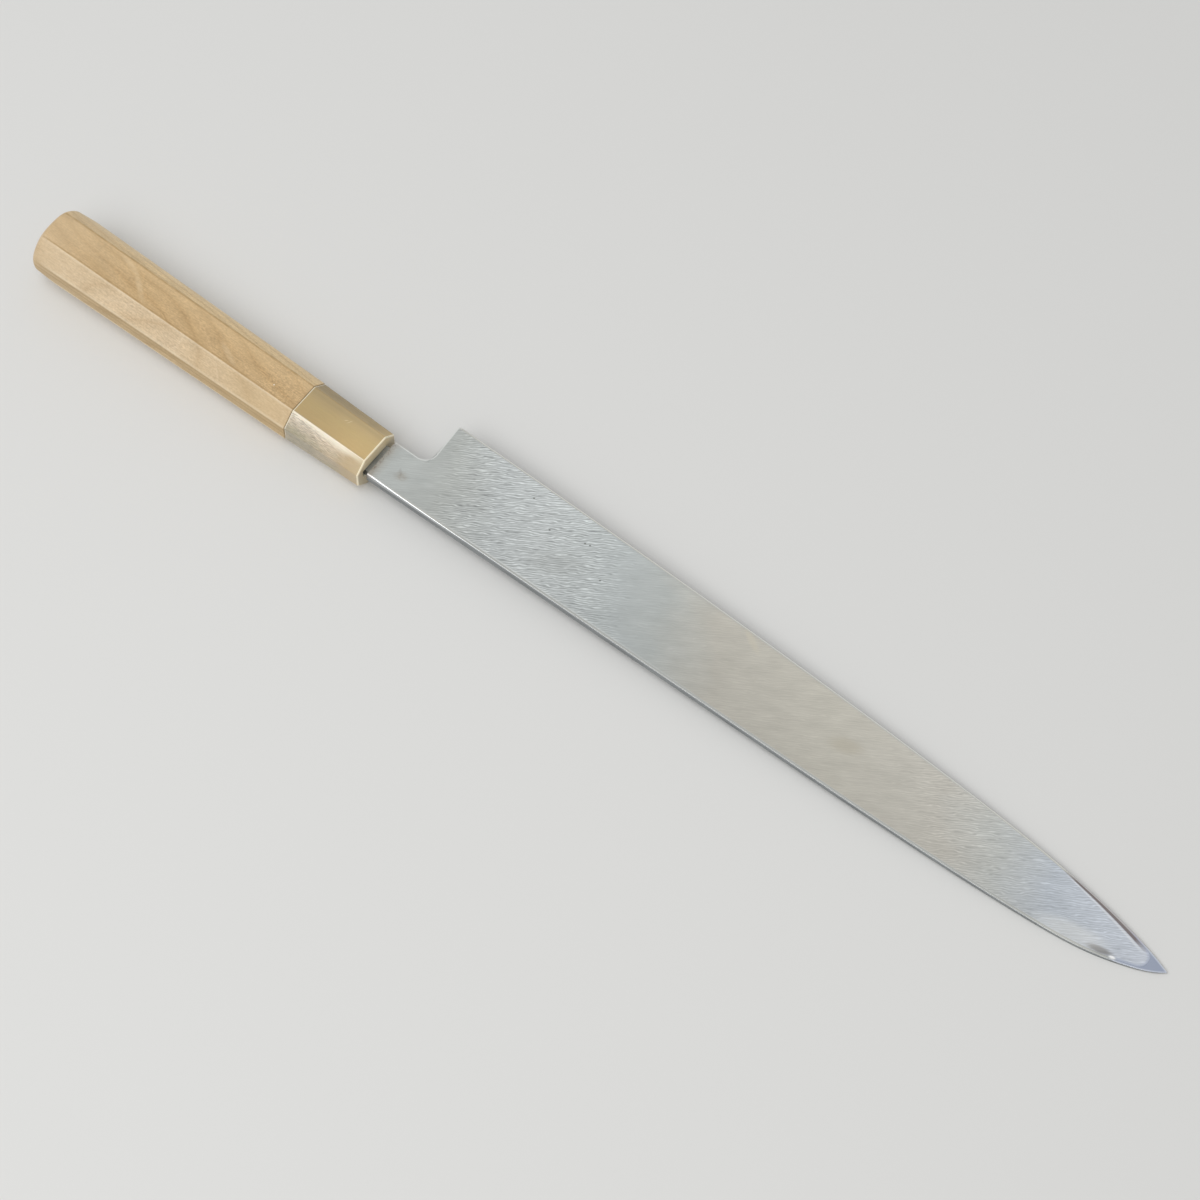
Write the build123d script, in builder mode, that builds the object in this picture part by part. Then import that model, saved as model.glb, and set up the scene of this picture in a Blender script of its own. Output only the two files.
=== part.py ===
# Yanagiba: a single-bevel slicing knife, lying on its bevel side with the hollow back facing up.
#
# X runs from the butt to the point, Y from the back of the blade to the cutting edge, and Z is up.
# The origin is at table level, under the middle of the knife's length and width. Inside that frame
# every sketch is drawn on a plane whose own origin is the middle of the ferrule's front face.

import math
import os

from build123d import *

# Grip: the ferrule and the wooden body share one tapering octagon
handle_length = 146.0         # ferrule's front face to the crown of the butt
facet_angle = 46.0            # slope of the four corner facets, in degrees

# Ferrule: blond horn, bored from behind and slotted in front
ferrule_length = 31.5
ferrule_front_width = 20.3
ferrule_front_thickness = 16.3
ferrule_rear_width = 22.0
ferrule_rear_thickness = 18.0
ferrule_front_crown = 11.5    # width of the top and bottom facets
ferrule_rear_crown = 11.8
ferrule_wall = 7.5            # solid horn between the front face and the bore
ferrule_lip = 0.9             # rounding of the front rim
ferrule_rear_bevel = 0.3      # the pale line where horn meets wood

# Wooden body: magnolia, with a turned tenon
body_step = 0.2               # the wood stands this much proud of the horn, all round
butt_width = 25.2
butt_thickness = 21.2
butt_crown = 12.6             # width of the top and bottom facets at the butt
body_corner = 1.4             # the long corners are worn soft
butt_radius = 50.0            # the butt is slightly domed
butt_rounding = 1.25
tenon_diameter = 13.6
tenon_clearance = 0.05        # glue line around the tenon, on the radius

# Tang: tapers in width and thickness, and is burnt into the wood
tang_length = 95.0            # behind the ferrule's front face
tang_width = 11.8             # at the shoulders
tang_thickness = 3.9
tang_end_width = 5.0
tang_end_thickness = 2.0
tang_pocket = 3.0             # empty end of the burnt channel
tang_spine_step = 1.1         # shoulder on the spine side
slot_gap = 1.1                # open end of the ferrule's slot, on the spine side
slot_clearance = 0.12
slot_corner = 0.4

# Blade
blade_length = 301.4          # heel to point
blade_height = 33.9           # spine to cutting edge at the heel
back_height = 2.5             # flat back above the grip's axis
spine_drop = 7.2              # spine below the grip's axis, in the plane of the blade
spine_thickness = 4.0         # at the ferrule
point_thickness = 1.5         # the same flat side carried on to the point
side_fall = 0.45              # loss of thickness from the spine to the ridge at the heel
edge_land = 0.12              # thickness left at the cutting edge
bevel_height = 17.5           # edge to ridge at the heel

# Neck and notch
heel_reach = 15.8             # ferrule's front face to the foot of the heel
heel_lean = 0.8               # the heel leans back towards the grip
heel_rounding = 0.8
neck_width = 15.8
notch_radius = 4.7
shoulder_gap = 1.5            # the shoulders stand clear of the ferrule

# Hard steel, forge-welded under the flat back
steel_at_heel = 1.2
steel_at_point = 0.6

# Hollow back, ground on a large wheel
wheel_radius = 320.0
rim_at_edge = 0.6
rim_at_spine = 0.9
hollow_start = 5.0            # where the wheel first touches the neck
hollow_runout = 26.0          # length over which it reaches full depth
hollow_least_depth = 0.02
rim_at_point = 7.0            # flat left between the hollow and the point

overrun = 2.0                 # how far every cutting tool passes its target
halvings = 24                 # steps of the search for a height on a curve

# Lines of the blade, from heel to point: (share of blade_length, share of blade_height)
edge_line_shares = [(0.215, 0.986), (0.48, 0.937), (0.71, 0.851), (0.88, 0.714), (0.96, 0.581)]
spine_line_shares = [(0.215, 0.019), (0.48, 0.041), (0.71, 0.072), (0.85, 0.127), (0.92, 0.199),
                     (0.96, 0.293), (0.985, 0.382)]
point_height_share = 0.470
# Slopes of those lines at their ends, as shares of blade_height in one blade_length
spine_heel_slope_share = 0.09
edge_point_slope_share = -3.7
spine_point_slope_share = 7.5
# Height of the bevel: (share of blade_length, share of bevel_height)
bevel_line_shares = [(-0.06, 1.0), (0.0, 1.0), (0.215, 0.99), (0.48, 0.955), (0.71, 0.90), (0.88, 0.80),
                     (0.96, 0.72), (1.0, 0.66), (1.02, 0.64)]
# Stations of the hollow between its full depth and its end, as shares of that stretch
hollow_station_shares = [0.0, 0.22, 0.48, 0.72, 0.88, 0.97, 1.0]

# Places that follow from those sizes
heel_x = heel_reach - heel_lean
point_x = heel_x + blade_length
edge_y = blade_height - spine_drop
neck_y = neck_width - spine_drop
front_x = (handle_length - point_x) / 2
axis_y = (butt_width / 2 - edge_y) / 2
axis_z = butt_thickness / 2
tang_low = tang_spine_step - spine_drop
tang_high = tang_low + tang_width
steel_slope = (steel_at_heel - steel_at_point) / blade_length
length_slope = (spine_thickness - point_thickness) / point_x
height_slope = side_fall / (blade_height - bevel_height)


def across(x):
    """Plane square to the grip's axis, x in front of the ferrule: local axes are Y and Z."""
    return Plane(origin=(front_x + x, axis_y, axis_z), x_dir=(0, 1, 0), z_dir=(1, 0, 0))


def level(z):
    """Plane parallel to the flat back, z above the grip's axis: local axes are X and Y."""
    return Plane(origin=(front_x, axis_y, axis_z + z))


def octagon_corners(width, thickness, crown):
    """Corners of the grip's section, whose corner facets all slope by facet_angle."""
    side = thickness / 2 - (width - crown) / 2 * math.tan(math.radians(facet_angle))
    quarter = [(crown / 2, thickness / 2), (width / 2, side), (width / 2, -side), (crown / 2, -thickness / 2)]
    return quarter + [(-y, z) for y, z in reversed(quarter)]


def facet_planes(front, front_corners, rear, rear_corners):
    """Planes of the grip's eight facets between two sections, facing outwards."""
    planes = []
    for i in range(len(front_corners)):
        start = Vector(front, *front_corners[i - 1])
        over_facet = Vector(front, *front_corners[i]) - start
        along_facet = Vector(rear, *rear_corners[i - 1]) - start
        planes.append(
            Plane(
                origin=start + Vector(front_x, axis_y, axis_z),
                x_dir=over_facet,
                z_dir=over_facet.cross(along_facet),
            )
        )
    return planes


def from_heel(along_share, height_share):
    """Point of the blade's outline."""
    return heel_x + along_share * blade_length, height_share * blade_height - spine_drop


def slope(height_share):
    """Direction that rises by height_share of blade_height in one blade_length."""
    return blade_length, height_share * blade_height


def side_depth(x, y):
    """Depth of the bevel side's flat below the back."""
    return spine_thickness - length_slope * x - height_slope * (y + spine_drop)


edge_points = [(heel_x, edge_y)] + [from_heel(*pair) for pair in edge_line_shares]
spine_points = [(heel_x, -spine_drop)] + [from_heel(*pair) for pair in spine_line_shares]
point = from_heel(1, point_height_share)
edge_curve = Spline(*edge_points, point, tangents=[slope(0), slope(edge_point_slope_share)], mode=Mode.PRIVATE)
spine_curve = Spline(
    *spine_points,
    point,
    tangents=[slope(spine_heel_slope_share), slope(spine_point_slope_share)],
    mode=Mode.PRIVATE,
)


def height_at(curve, x):
    """Height of an outline curve where it crosses x, straight on past its ends."""
    start, end = curve @ 0, curve @ 1
    if x <= start.X:
        return start.Y
    if x >= end.X:
        tangent = curve % 1
        return end.Y + (x - end.X) * tangent.Y / tangent.X
    low = 0.0
    high = 1.0
    for _ in range(halvings):
        middle = (low + high) / 2
        if (curve @ middle).X < x:
            low = middle
        else:
            high = middle
    return (curve @ low).Y


# Tang, drawn once and used for the iron and for its channel in the wood

tang_root_y = (tang_low + tang_high) / 2
tang_root_z = back_height - tang_thickness / 2

with BuildPart() as tang:
    with BuildSketch(across(shoulder_gap)):
        with Locations((tang_root_y, tang_root_z)):
            Rectangle(tang_width, tang_thickness)
    with BuildSketch(across(-tang_length)):
        Rectangle(tang_end_width, tang_end_thickness)
    loft(ruled=True)

# Blade blank: outline, flat side, bevel and hollow

with BuildPart() as blank:
    with BuildSketch(level(back_height)):
        with BuildLine():
            spine_shoulder = (shoulder_gap, -spine_drop)
            edge_shoulder = (shoulder_gap, neck_y)
            heel_foot = (heel_reach, neck_y)
            Line(spine_shoulder, (heel_x, -spine_drop))
            add(spine_curve)
            add(edge_curve)
            Line((heel_x, edge_y), heel_foot)
            Line(heel_foot, edge_shoulder)
            Line(edge_shoulder, spine_shoulder)
        make_face()
        fillet(vertices().sort_by_distance(heel_foot)[0], radius=notch_radius)
        fillet(vertices().sort_by_distance((heel_x, edge_y))[0], radius=heel_rounding)
    extrude(amount=-(spine_thickness + overrun))

    side_plane = Plane(
        origin=(front_x, axis_y - spine_drop, axis_z + back_height - spine_thickness),
        z_dir=(-length_slope, -height_slope, 1),
    )
    split(bisect_by=side_plane, keep=Keep.TOP)

    for along_share, bevel_share in bevel_line_shares:
        x = heel_x + along_share * blade_length
        edge = height_at(edge_curve, x)
        ridge = edge - bevel_share * bevel_height
        ridge_depth = side_depth(x, ridge)
        rise = (ridge_depth - edge_land) / (edge - ridge) * overrun
        tool_foot = back_height - spine_thickness - overrun
        with BuildSketch(across(x)):
            with BuildLine():
                Polyline(
                    (edge + overrun, back_height - edge_land + rise),
                    (ridge - overrun, back_height - ridge_depth - rise),
                    (ridge - overrun, tool_foot - rise),
                    (edge + overrun, tool_foot - rise),
                    close=True,
                )
            make_face()
    loft(mode=Mode.SUBTRACT)

    hollow_end = point_x - rim_at_point
    hollow_full = hollow_start + hollow_runout
    stations = [hollow_start] + [
        hollow_full + share * (hollow_end - hollow_full) for share in hollow_station_shares
    ]
    for x in stations:
        low = height_at(spine_curve, x) + rim_at_spine
        high = height_at(edge_curve, x) - rim_at_edge
        depth = wheel_radius - math.sqrt(wheel_radius**2 - ((high - low) / 2) ** 2)
        if x == hollow_start:
            depth = hollow_least_depth
        with BuildSketch(across(x)):
            with BuildLine():
                ThreePointArc(
                    (low, back_height), ((low + high) / 2, back_height - depth), (high, back_height)
                )
                Polyline(
                    (high, back_height),
                    (high, back_height + overrun),
                    (low, back_height + overrun),
                    (low, back_height),
                )
            make_face()
    loft(mode=Mode.SUBTRACT)

# The weld between hard steel and soft iron is one flat plane

weld_plane = Plane(
    origin=(front_x + heel_x, axis_y, axis_z + back_height - steel_at_heel),
    z_dir=(-steel_slope, 0, 1),
)

with BuildPart() as blade_edge_steel:
    add(blank.part)
    split(bisect_by=weld_plane, keep=Keep.TOP)

with BuildPart() as blade_soft_iron:
    add(blank.part)
    split(bisect_by=weld_plane, keep=Keep.BOTTOM)
    add(tang.part)

# Ferrule

ferrule_facets = facet_planes(
    0,
    octagon_corners(ferrule_front_width, ferrule_front_thickness, ferrule_front_crown),
    -ferrule_length,
    octagon_corners(ferrule_rear_width, ferrule_rear_thickness, ferrule_rear_crown),
)

with BuildPart() as horn_ferrule:
    with BuildSketch(across(-ferrule_length)):
        Rectangle(ferrule_rear_width + overrun, ferrule_rear_thickness + overrun)
    extrude(amount=ferrule_length)
    for facet in ferrule_facets:
        split(bisect_by=facet, keep=Keep.BOTTOM)
    fillet(faces().sort_by(Axis.X)[-1].edges(), radius=ferrule_lip)
    chamfer(faces().sort_by(Axis.X)[0].edges(), length=ferrule_rear_bevel)

    with BuildSketch(across(-ferrule_length)):
        Circle(tenon_diameter / 2 + tenon_clearance)
    extrude(amount=ferrule_length - ferrule_wall, mode=Mode.SUBTRACT)

    slot_width = tang_width + slot_gap + slot_clearance
    slot_height = tang_thickness + slot_clearance * 2
    slot_y = tang_root_y + (slot_clearance - slot_gap) / 2
    with BuildSketch(across(-ferrule_wall - overrun)):
        with Locations((slot_y, tang_root_z)):
            RectangleRounded(slot_width, slot_height, slot_corner)
    extrude(amount=ferrule_wall + overrun * 2, mode=Mode.SUBTRACT)

# Wooden body

body_front_width = ferrule_rear_width + body_step * 2
body_front_thickness = ferrule_rear_thickness + body_step * 2
body_facets = facet_planes(
    -ferrule_length,
    octagon_corners(body_front_width, body_front_thickness, ferrule_rear_crown),
    -handle_length,
    octagon_corners(butt_width, butt_thickness, butt_crown),
)

with BuildPart() as wood_body:
    with BuildSketch(across(-handle_length)):
        Rectangle(butt_width + overrun, butt_thickness + overrun)
    extrude(amount=handle_length - ferrule_length)
    for facet in body_facets:
        split(bisect_by=facet, keep=Keep.BOTTOM)

    dome_reach = butt_width
    dome_sag = butt_radius - math.sqrt(butt_radius**2 - dome_reach**2)
    with BuildSketch(level(0)):
        with BuildLine():
            RadiusArc((-handle_length, 0), (dome_sag - handle_length, dome_reach), butt_radius)
            Polyline(
                (dome_sag - handle_length, dome_reach),
                (overrun, dome_reach),
                (overrun, 0),
                (-handle_length, 0),
            )
        make_face()
    revolve(axis=Axis((front_x, axis_y, axis_z), (1, 0, 0)), mode=Mode.INTERSECT)
    long_corners = edges().filter_by(lambda edge: edge.length > ferrule_length)
    fillet(long_corners, radius=body_corner)
    fillet(faces().sort_by(Axis.X)[0].edges(), radius=butt_rounding)

    with BuildSketch(across(-ferrule_length)):
        Circle(tenon_diameter / 2)
    extrude(amount=ferrule_length - ferrule_wall)

    add(tang.part, mode=Mode.SUBTRACT)
    with BuildSketch(across(-tang_length)):
        Rectangle(tang_end_width, tang_end_thickness)
    extrude(amount=-tang_pocket, mode=Mode.SUBTRACT)

blade_edge_steel.part.label = "blade_edge_steel"
blade_soft_iron.part.label = "blade_soft_iron"
horn_ferrule.part.label = "horn_ferrule"
wood_body.part.label = "wood_body"

os.makedirs("parts", exist_ok=True)
export_step(blade_edge_steel.part, "parts/blade_edge_steel.step")
export_step(blade_soft_iron.part, "parts/blade_soft_iron.step")
export_step(horn_ferrule.part, "parts/horn_ferrule.step")
export_step(wood_body.part, "parts/wood_body.step")
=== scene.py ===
import math
from functools import partial

import bmesh
import bpy
import numpy as np
from mathutils import Matrix, Quaternion, Vector


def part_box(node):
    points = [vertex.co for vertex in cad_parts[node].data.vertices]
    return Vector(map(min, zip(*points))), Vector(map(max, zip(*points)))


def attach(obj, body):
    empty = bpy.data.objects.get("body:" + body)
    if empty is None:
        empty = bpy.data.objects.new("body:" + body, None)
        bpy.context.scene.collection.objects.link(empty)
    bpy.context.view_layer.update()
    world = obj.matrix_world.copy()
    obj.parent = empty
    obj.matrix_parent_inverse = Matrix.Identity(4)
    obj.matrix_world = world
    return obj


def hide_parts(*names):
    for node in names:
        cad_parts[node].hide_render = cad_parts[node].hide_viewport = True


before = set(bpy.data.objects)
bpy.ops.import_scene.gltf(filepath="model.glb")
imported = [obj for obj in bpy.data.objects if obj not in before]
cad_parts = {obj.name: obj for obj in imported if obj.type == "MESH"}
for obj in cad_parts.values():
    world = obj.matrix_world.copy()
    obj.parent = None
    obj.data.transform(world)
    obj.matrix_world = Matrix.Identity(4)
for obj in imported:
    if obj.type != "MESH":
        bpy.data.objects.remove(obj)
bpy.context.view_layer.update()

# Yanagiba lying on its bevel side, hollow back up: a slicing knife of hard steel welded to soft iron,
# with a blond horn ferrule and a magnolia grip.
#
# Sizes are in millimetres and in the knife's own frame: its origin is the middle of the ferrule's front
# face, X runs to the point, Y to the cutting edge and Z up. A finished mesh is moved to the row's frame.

MM = 0.001
SAME_POINT = 0.002 * MM        # points as near each other as this are one point

ferrule_low, ferrule_high = (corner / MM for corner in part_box("horn_ferrule"))
steel_low, steel_high = (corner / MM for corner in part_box("blade_edge_steel"))
wood_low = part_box("wood_body")[0] / MM
iron_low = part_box("blade_soft_iron")[0] / MM

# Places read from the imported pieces
axis_y = (ferrule_low.y + ferrule_high.y) / 2
axis_z = (ferrule_low.z + ferrule_high.z) / 2
grip_front = Vector((ferrule_high.x, axis_y, axis_z))
ferrule_length = ferrule_high.x - ferrule_low.x
ferrule_rear_width = ferrule_high.y - ferrule_low.y
ferrule_rear_thickness = ferrule_high.z - ferrule_low.z
handle_length = grip_front.x - wood_low.x
tang_length = grip_front.x - iron_low.x
shoulder_gap = steel_low.x - grip_front.x
point_x = steel_high.x - grip_front.x
edge_y = steel_high.y - grip_front.y
spine_drop = grip_front.y - steel_low.y
back_height = steel_high.z - grip_front.z

# Grip. A crown is the width of the level facet on top, and of the one below.
facet_angle = 46.0
ferrule_front_width = 20.3
ferrule_front_thickness = 16.3
ferrule_front_crown = 11.5
ferrule_rear_crown = 11.8
ferrule_lip = 0.6
ferrule_rear_bevel = 0.3
ferrule_wall = 7.5
ferrule_softness = 0.35
ferrule_unevenness = 0.05
flat_radius = 10000.0          # a dome of this radius is flat
body_step = 0.2
body_front_rounding = 0.25
body_softness = 0.45
body_unevenness = 0.08
butt_width = 25.2
butt_thickness = 21.2
butt_crown = 12.6
butt_radius = 50.0
butt_rounding = 1.6
butt_softness = 3.5            # the long corners fade out over the last butt_fade of the grip
butt_fade = 10.0
tenon_diameter = 13.6
slot_gap = 1.1
slot_clearance = 0.12
slot_flare = 0.25

# Marks of the wood and of use on the steel, each at its place in plan; a streak also has its turn
wood_shadows = [(-120.3, -3.6), (-101.3, -4.6), (-76.3, -3.9)]
pale_streaks = [(-112.0, 4.0, -18), (-103.5, -1.2, -39), (-62.8, -2.4, -27)]
pits = [(77.9, 17.8), (76.1, 17.4), (88.5, 9.4), (63.5, 14.2), (52.0, 20.5)]
brush_angle = 31.0

# A grey smear before the point, a bright spot in it, and paler or duller patches further back, each with
# its place, reach, turn, tint and strength
back_marks = [
    ((294.8, 2.1), (6.4, 1.7), 12, "#7A7775", 0.8),
    ((299.5, 2.3), (1.6, 0.8), 15, "#F6F7F8", 0.9),
    ((284.0, 1.5), (17, 5), 12, "#E6E6E2", 0.35),
    ((189.0, 10.5), (8, 4), 20, "#ADA593", 0.35),
    ((142.0, 22.5), (7, 1.8), -30, "#CFC8B5", 0.3),
    ((73.0, 6.0), (15, 7), 30, "#A6A8A6", 0.25),
]

# Tang
tang_width = 11.8
tang_thickness = 3.9
tang_end_width = 5.0
tang_end_thickness = 2.0
tang_pocket = 3.0
tang_spine_step = 1.1

# Blade
blade_length = 301.4
blade_height = spine_drop + edge_y
spine_thickness = 4.0
point_thickness = 1.5
side_fall = 0.45
edge_land = 0.12
bevel_height = 17.5
heel_reach = 15.8
heel_lean = 0.8
heel_rounding = 0.8
neck_width = 15.8
notch_radius = 4.7
steel_at_heel = 1.2
steel_at_point = 0.6
weld_wander = 0.05            # the weld isn't quite flat, so its line on the bevel waves
spine_rounding = 0.12          # buffed round at the neck, nearly sharp further on
neck_rounding = 0.8
rounding_fade = 24.0
ridge_softness = 0.03
wheel_radius = 320.0
rim_at_edge = 0.6
rim_at_spine = 0.9
hollow_start = 5.0
hollow_runout = 26.0
rim_at_point = 7.0

edge_line_shares = [(0.215, 0.986), (0.48, 0.937), (0.71, 0.851), (0.88, 0.714), (0.96, 0.581)]
spine_line_shares = [(0.215, 0.019), (0.48, 0.041), (0.71, 0.072), (0.85, 0.127), (0.92, 0.199),
                     (0.96, 0.293), (0.985, 0.382)]
point_height_share = 0.470
spine_heel_slope_share = 0.09
edge_point_slope_share = -3.7
spine_point_slope_share = 7.5
bevel_line_shares = [(0.0, 1.0), (0.215, 0.99), (0.48, 0.955), (0.71, 0.90), (0.88, 0.80),
                     (0.96, 0.72), (1.0, 0.66)]
bevel_end_slope = -0.05

heel_x = heel_reach - heel_lean
neck_y = neck_width - spine_drop
tang_root_y = tang_spine_step - spine_drop + tang_width / 2
tang_root_z = back_height - tang_thickness / 2
slot_width = tang_width + slot_gap + slot_clearance
slot_height = tang_thickness + slot_clearance * 2
slot_y = tang_root_y + (slot_clearance - slot_gap) / 2


# Kinds of node that the trees use often

MATH = "ShaderNodeMath"
VECTOR_MATH = "ShaderNodeVectorMath"
RANGE = "ShaderNodeMapRange"
COORDINATES = "ShaderNodeTexCoord"
ATTRIBUTE = "ShaderNodeAttribute"
MAPPING = "ShaderNodeMapping"
NOISE = "ShaderNodeTexNoise"
RAMP = "ShaderNodeValToRGB"
SEPARATE = "ShaderNodeSeparateXYZ"
COMBINE = "ShaderNodeCombineXYZ"
MIX = "ShaderNodeMix"
BUMP = "ShaderNodeBump"
PRINCIPLED = "ShaderNodeBsdfPrincipled"
OUTPUT = "ShaderNodeOutputMaterial"


# Small tools

def linear(hex_colour):
    """Linear RGBA of an sRGB hex colour."""
    channels = [int(hex_colour[i:i + 2], 16) / 255 for i in (1, 3, 5)]
    return tuple(c / 12.92 if c <= 0.04045 else ((c + 0.055) / 1.055) ** 2.4 for c in channels) + (1.0,)


def add(tree, kind, inputs=(), stops=(), output=0, **settings):
    """Adds a node with its settings, fills its inputs with values or links, and returns one of its
    outputs, or all of them where output is None."""
    made = tree.nodes.new(kind)
    for name, value in settings.items():
        setattr(made, name, value)
    for key, value in inputs.items() if isinstance(inputs, dict) else enumerate(inputs):
        if isinstance(value, bpy.types.NodeSocket):
            tree.links.new(value, made.inputs[key])
        else:
            made.inputs[key].default_value = value
    if stops:
        elements = made.color_ramp.elements
        while len(elements) < len(stops):
            elements.new(1.0)
        for element, (place, colour) in zip(elements, stops):
            element.position = place
            element.color = linear(colour)
    return made.outputs if output is None else made.outputs[output]


def new_material(name):
    """An empty material and its node tree."""
    material = bpy.data.materials.new(name)
    material.use_nodes = True
    material.node_tree.nodes.clear()
    return material, material.node_tree


def knife_place(tree):
    """Millimetres in the knife's own frame, for the point that is shaded."""
    place = add(tree, COORDINATES, output="Object")
    return add(tree, MAPPING, {"Vector": place, "Location": -grip_front, "Scale": (1 / MM,) * 3})


def to_row(points):
    """Points in the knife's own frame, in millimetres, as points in the row's frame in metres."""
    return (np.asarray(points) + np.array(grip_front)) * MM


def new_object(name, data):
    """A piece, lamp or camera in the scene."""
    made = bpy.data.objects.new(name, data)
    bpy.context.scene.collection.objects.link(made)
    return made


def settled(piece, sharp_angle, material=None):
    """Merges doubles, turns the faces outwards and shades the mesh smooth except along real corners."""
    mesh = piece.data
    work = bmesh.new()
    work.from_mesh(mesh)
    bmesh.ops.remove_doubles(work, verts=work.verts, dist=SAME_POINT)
    bmesh.ops.dissolve_degenerate(work, edges=work.edges, dist=SAME_POINT / 2)
    bmesh.ops.recalc_face_normals(work, faces=work.faces)
    work.to_mesh(mesh)
    work.free()
    mesh.shade_smooth()
    mesh.set_sharp_from_angle(angle=math.radians(sharp_angle))
    mesh.materials.clear()
    if material:
        mesh.materials.append(material)
    return piece


def plain_mesh(piece):
    """Replaces the piece's mesh by what its modifiers make of it, and removes them."""
    evaluated = piece.evaluated_get(bpy.context.evaluated_depsgraph_get())
    mesh = bpy.data.meshes.new_from_object(evaluated)
    piece.modifiers.clear()
    piece.data = mesh


def joined(piece, tool, operation):
    """Cuts the tool out of the piece, or unites them, and removes the tool."""
    change = piece.modifiers.new(operation.lower(), "BOOLEAN")
    change.operation = operation
    change.solver = "EXACT"
    change.object = tool
    plain_mesh(piece)
    bpy.data.objects.remove(tool)


def ring_solid(name, rings):
    """Closed mesh through rings of points that all have the same count. Its faces point outwards where the
    rings turn from Y to Z and follow each other along X."""
    rings = np.asarray(rings)
    count, around = rings.shape[:2]
    faces = [
        (i * around + j, i * around + (j + 1) % around,
         (i + 1) * around + (j + 1) % around, (i + 1) * around + j)
        for i in range(count - 1)
        for j in range(around)
    ]
    faces.append(tuple(reversed(range(around))))
    faces.append(tuple((count - 1) * around + j for j in range(around)))
    mesh = bpy.data.meshes.new(name)
    mesh.from_pydata(to_row(rings.reshape(-1, 3)).tolist(), [], faces)
    return new_object(name, mesh)


def rectangle_ring(x, y, z, width, height):
    """Corners of an upright rectangle across the knife."""
    signs = ((-1, -1), (1, -1), (1, 1), (-1, 1))
    return [(x, y + side * width / 2, z + rise * height / 2) for side, rise in signs]


def mesh_points(mesh):
    """The mesh's points in the row's frame, in millimetres."""
    points = np.empty(len(mesh.vertices) * 3, np.float32)
    mesh.vertices.foreach_get("co", points)
    return points.reshape(-1, 3) / MM


def smooth_least(first, second, softness):
    """The smaller of two values, blended where they differ by less than the softness."""
    overlap = np.maximum(softness - np.abs(first - second), 0) / softness
    return np.minimum(first, second) - overlap**2 * softness / 4


def eased(share):
    """A share from 0 to 1 that starts and ends gently."""
    return share * share * (3 - 2 * share)


# Lines of the blade

def smooth_line(points, first_slope, last_slope):
    """Height of a smooth line through the points, level before its first and straight on past its last."""
    x, y = np.array(points).T
    gap = np.diff(x)
    rise = np.diff(y) / gap
    system = np.eye(len(x))
    target = np.zeros(len(x))
    target[0] = first_slope
    target[-1] = last_slope
    for i in range(1, len(x) - 1):
        system[i, i - 1:i + 2] = gap[i], 2 * (gap[i - 1] + gap[i]), gap[i - 1]
        target[i] = 3 * (gap[i] * rise[i - 1] + gap[i - 1] * rise[i])
    slopes = np.linalg.solve(system, target)

    def height(at):
        inside = np.clip(at, x[0], x[-1])
        i = np.clip(np.searchsorted(x, inside) - 1, 0, len(gap) - 1)
        t = (inside - x[i]) / gap[i]
        curve = (
            y[i] * (1 + 2 * t) * (1 - t) ** 2
            + y[i + 1] * t * t * (3 - 2 * t)
            + gap[i] * slopes[i] * t * (1 - t) ** 2
            - gap[i] * slopes[i + 1] * t * t * (1 - t)
        )
        return curve + last_slope * np.maximum(at - x[-1], 0)

    return height


def from_heel(along_share, height_share):
    """Place in plan, from its shares of the blade's length and height."""
    return heel_x + along_share * blade_length, height_share * blade_height - spine_drop


slope_unit = blade_height / blade_length
point = from_heel(1, point_height_share)
edge_line = smooth_line(
    [(heel_x, edge_y)] + [from_heel(*pair) for pair in edge_line_shares] + [point],
    0,
    edge_point_slope_share * slope_unit,
)
spine_line = smooth_line(
    [(heel_x, -spine_drop)] + [from_heel(*pair) for pair in spine_line_shares] + [point],
    spine_heel_slope_share * slope_unit,
    spine_point_slope_share * slope_unit,
)
bevel_line = smooth_line(
    [(heel_x + along * blade_length, share * bevel_height) for along, share in bevel_line_shares],
    0,
    bevel_end_slope,
)


def side_depth(x, y):
    """Depth of the bevel side's flat below the back."""
    length_slope = (spine_thickness - point_thickness) / point_x
    height_slope = side_fall / (blade_height - bevel_height)
    return spine_thickness - length_slope * x - height_slope * (y + spine_drop)


def bevel_depth(x, y):
    """Depth of the bevel's plane below the back."""
    edge = edge_line(x)
    height = bevel_line(x)
    ridge_depth = side_depth(x, edge - height)
    return edge_land + (edge - y) * (ridge_depth - edge_land) / height


def depth(x, y):
    """Thickness of the blade, measured from its flat back, with a slightly softened ridge."""
    return smooth_least(side_depth(x, y), bevel_depth(x, y), ridge_softness)


def even_steel(x):
    """Depth of the hard steel, were its weld quite flat."""
    return steel_at_heel - (steel_at_heel - steel_at_point) * (x - heel_x) / blade_length


def steel_depth(x, y):
    """Depth of the weld between hard steel and soft iron, made uneven by three waves along the blade."""
    long_wave = np.sin(x / 13.0 + 0.4) * 0.35
    wave = np.sin(x / 5.1 + 1.3) * 0.4
    short_wave = np.sin(x / 2.3 + y / 3.0) * 0.25
    return np.minimum(even_steel(x) + weld_wander * (wave + short_wave + long_wave), depth(x, y))


def hollow_inset(x, y):
    """Distance in from the line where the hollow meets its rims, negative on the rims."""
    from_spine = y - spine_line(x) - rim_at_spine
    from_edge = edge_line(x) - rim_at_edge - y
    across = np.minimum(from_spine, from_edge)
    blunt = 2.5
    return smooth_least(across, point_x - rim_at_point - x, blunt)


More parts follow.
